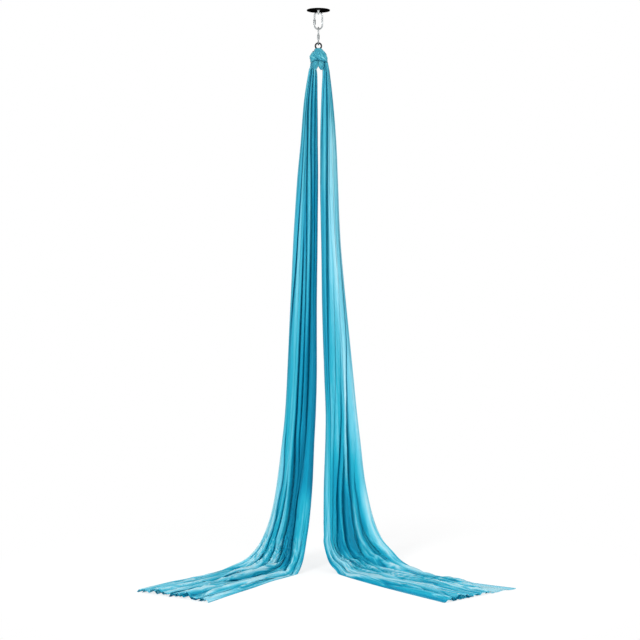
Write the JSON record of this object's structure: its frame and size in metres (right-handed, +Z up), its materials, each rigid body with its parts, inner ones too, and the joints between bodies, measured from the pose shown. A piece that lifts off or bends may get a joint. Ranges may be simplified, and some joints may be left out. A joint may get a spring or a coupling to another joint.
{
  "type": "aerial silks",
  "caption": "Two long gathered lengths of cloth tied to a figure-of-eight, hung by carabiners from a round ceiling plate, their ends trailing on the floor.",
  "frame": {"origin": "centre of the ceiling plate's top face, which lies against the ceiling", "axes": "+Z up out of the plate's top face into the ceiling, +X to the right as seen from the front, where the silks' ends come towards the viewer, +Y away from the viewer"},
  "size_m": [2.306, 1.024, 3.6288],
  "materials": {
    "plate_steel": "polished black",
    "eye_steel": "bright zinc",
    "carabiner_steel": "bright polished",
    "sleeve_steel": "satin knurled",
    "pin_steel": "plain",
    "eight_black": "black anodised",
    "silk_cloth": "turquoise nylon tricot with a soft sheen"
  },
  "bodies": {
    "mount": {"ceiling_plate": "plate_steel", "hanger_eye": "eye_steel"},
    "upper_carabiner": {"upper_carabiner_frame": "carabiner_steel"},
    "upper_gate": {"upper_gate": "carabiner_steel", "upper_gate_hinge_pin": "pin_steel", "upper_gate_latch_pin": "pin_steel", "upper_gate_plunger": "pin_steel", "upper_gate_spring": "pin_steel"},
    "upper_sleeve": {"upper_gate_sleeve": "sleeve_steel"},
    "lower_carabiner": {"lower_carabiner_frame": "carabiner_steel"},
    "lower_gate": {"lower_gate": "carabiner_steel", "lower_gate_hinge_pin": "pin_steel", "lower_gate_latch_pin": "pin_steel", "lower_gate_plunger": "pin_steel", "lower_gate_spring": "pin_steel"},
    "lower_sleeve": {"lower_gate_sleeve": "sleeve_steel"},
    "eight": {"rescue_eight": "eight_black", "hitch_band": "silk_cloth", "hitch_left_turn": "silk_cloth", "hitch_right_turn": "silk_cloth"},
    "left_half": {"left_silk": "silk_cloth"},
    "right_half": {"right_silk": "silk_cloth"}
  },
  "joints": [
    {"name": "upper_carabiner_swing", "type": "hinge", "parent": "mount", "child": "upper_carabiner", "pos_m": [0, 0, -0.024], "axis": [0, 1, 0], "range_deg": [-25, 25]},
    {"name": "upper_gate_hinge", "type": "hinge", "parent": "upper_carabiner", "child": "upper_gate", "pos_m": [-0.025, 0, -0.1032], "axis": [0, 1, 0], "range_deg": [0, 25], "stiffness_Nm_per_rad": 0.3, "springref_deg": -11.46},
    {"name": "upper_sleeve_travel", "type": "slide", "parent": "upper_gate", "child": "upper_sleeve", "axis": [0, 0, 1], "range_m": [0, 0.013]},
    {"name": "lower_carabiner_swing", "type": "hinge", "parent": "upper_carabiner", "child": "lower_carabiner", "pos_m": [0, 0, -0.1232], "axis": [1, 0, 0], "range_deg": [-25, 25]},
    {"name": "lower_gate_hinge", "type": "hinge", "parent": "lower_carabiner", "child": "lower_gate", "pos_m": [0, -0.025, -0.2029], "axis": [-1, 0, 0], "range_deg": [0, 25], "stiffness_Nm_per_rad": 0.3, "springref_deg": -11.46},
    {"name": "lower_sleeve_travel", "type": "slide", "parent": "lower_gate", "child": "lower_sleeve", "axis": [0, 0, 1], "range_m": [0, 0.013]},
    {"name": "eight_swing", "type": "hinge", "parent": "lower_carabiner", "child": "eight", "pos_m": [0, 0, -0.2229], "axis": [0, 1, 0], "range_deg": [-20, 20]},
    {"name": "left_silk_swing", "type": "hinge", "parent": "eight", "child": "left_half", "pos_m": [-0.038, 0.018, -0.3672], "axis": [0, 1, 0], "range_deg": [0, 20]},
    {"name": "right_silk_swing", "type": "hinge", "parent": "eight", "child": "right_half", "pos_m": [0.038, 0.018, -0.3672], "axis": [0, -1, 0], "range_deg": [0, 20]}
  ]
}
